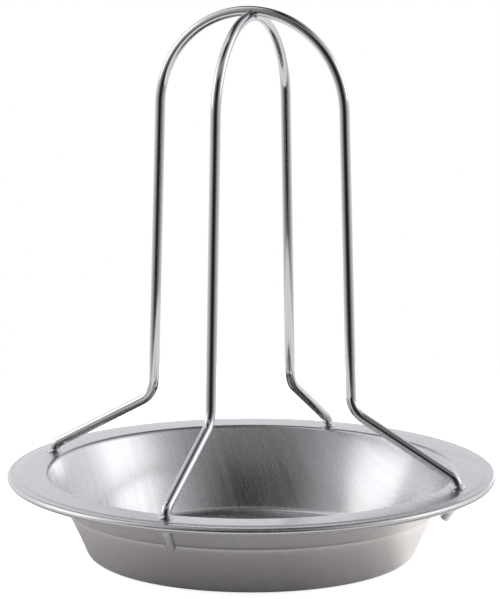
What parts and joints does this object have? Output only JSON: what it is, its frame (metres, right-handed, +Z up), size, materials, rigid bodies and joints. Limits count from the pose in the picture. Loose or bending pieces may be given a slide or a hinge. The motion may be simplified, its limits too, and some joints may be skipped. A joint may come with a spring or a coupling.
{
  "type": "vertical chicken roaster",
  "caption": "Round drip pan with a rolled rim and two crossed wire hoops that hold a bird upright.",
  "frame": {"origin": "centre of the pan's flat underside, on the surface it stands on", "axes": "+Z up, +X along the outer hoop, which passes over the crown, +Y along the inner hoop"},
  "size_m": [0.215, 0.215, 0.242],
  "materials": {
    "pan_sheet": "fine brushed sheet, satin",
    "hoop_wire": "bright polished wire",
    "weld_metal": "dull, slightly uneven weld metal"
  },
  "bodies": {
    "root": {"drip_pan": "pan_sheet", "outer_hoop": "hoop_wire", "inner_hoop": "hoop_wire", "crown_weld": "weld_metal"}
  },
  "joints": []
}
